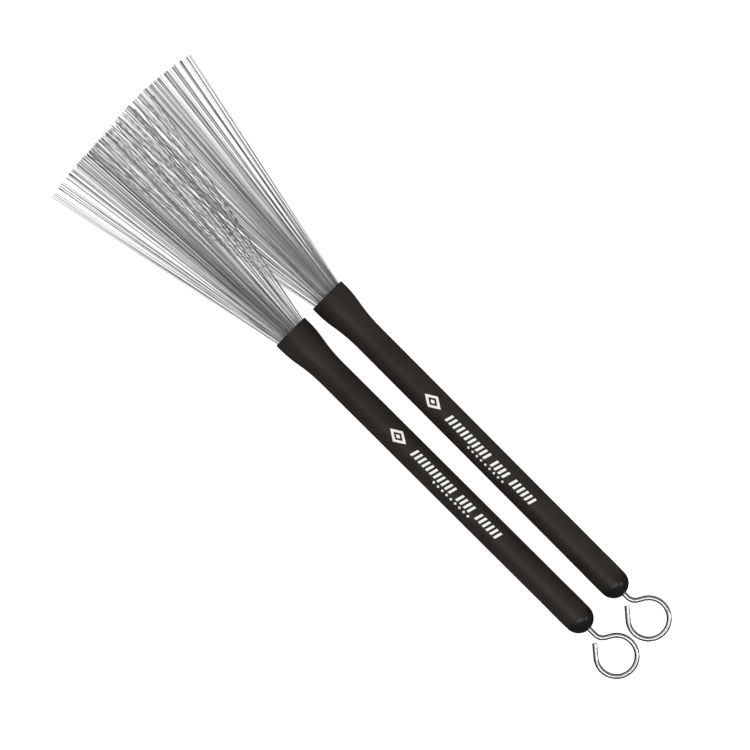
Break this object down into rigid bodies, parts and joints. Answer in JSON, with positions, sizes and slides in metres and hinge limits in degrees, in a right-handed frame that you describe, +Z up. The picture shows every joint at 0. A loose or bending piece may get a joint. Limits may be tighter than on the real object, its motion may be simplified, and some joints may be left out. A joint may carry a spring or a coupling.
{
  "type": "wire drum brushes",
  "caption": "Retractable wire drum brushes side by side: rubber grips with flared mouths, fanned steel wires, and sliding pull rods that end in round hang loops.",
  "frame": {"origin": "on the table, under the middle of the pair's bounding box", "axes": "+Y along the brushes towards the wire tips, +Z up, +X from the left brush to the right one"},
  "size_m": [0.0916, 0.3449, 0.0183],
  "materials": {
    "grip_rubber": "matte black moulded rubber, a little glossier on its round end",
    "tube": "drawn tube",
    "plug": "turned nylon",
    "collar": "turned",
    "ring_rubber": "smooth",
    "rod": "bright drawn and plated steel",
    "wires": "bright spring steel wire"
  },
  "bodies": {
    "right_handle": {"right_grip": "grip_rubber", "right_handle_tube": "tube", "right_end_plug": "plug"},
    "right_rod": {"right_pull_rod": "rod", "right_wire_collar": "collar", "right_drag_ring": "ring_rubber", "right_wire_row_1": "wires", "right_wire_row_2": "wires", "right_wire_row_3": "wires", "right_wire_row_4": "wires", "right_wire_row_5": "wires", "right_wire_row_6": "wires", "right_wire_row_7": "wires", "right_wire_row_8": "wires", "right_wire_row_9": "wires"},
    "left_handle": {"left_grip": "grip_rubber", "left_handle_tube": "tube", "left_end_plug": "plug"},
    "left_rod": {"left_pull_rod": "rod", "left_wire_collar": "collar", "left_drag_ring": "ring_rubber", "left_wire_row_1": "wires", "left_wire_row_2": "wires", "left_wire_row_3": "wires", "left_wire_row_4": "wires", "left_wire_row_5": "wires", "left_wire_row_6": "wires", "left_wire_row_7": "wires", "left_wire_row_8": "wires", "left_wire_row_9": "wires"}
  },
  "joints": [
    {"name": "right_pull", "type": "slide", "parent": "right_handle", "child": "right_rod", "axis": [-0.0026, -0.9999, -0.0118], "range_m": [-0.0021, 0.128], "deforming": ["right_wire_row_1", "right_wire_row_2", "right_wire_row_3", "right_wire_row_4", "right_wire_row_5", "right_wire_row_6", "right_wire_row_7", "right_wire_row_8", "right_wire_row_9"]},
    {"name": "left_pull", "type": "slide", "parent": "left_handle", "child": "left_rod", "axis": [0.0026, -0.9999, -0.0118], "range_m": [-0.0038, 0.1263], "deforming": ["left_wire_row_1", "left_wire_row_2", "left_wire_row_3", "left_wire_row_4", "left_wire_row_5", "left_wire_row_6", "left_wire_row_7", "left_wire_row_8", "left_wire_row_9"]},
    {"name": "left_apart", "type": "slide", "parent": "right_handle", "child": "left_handle", "axis": [-1, 0, 0], "range_m": [0, 0.06]}
  ]
}
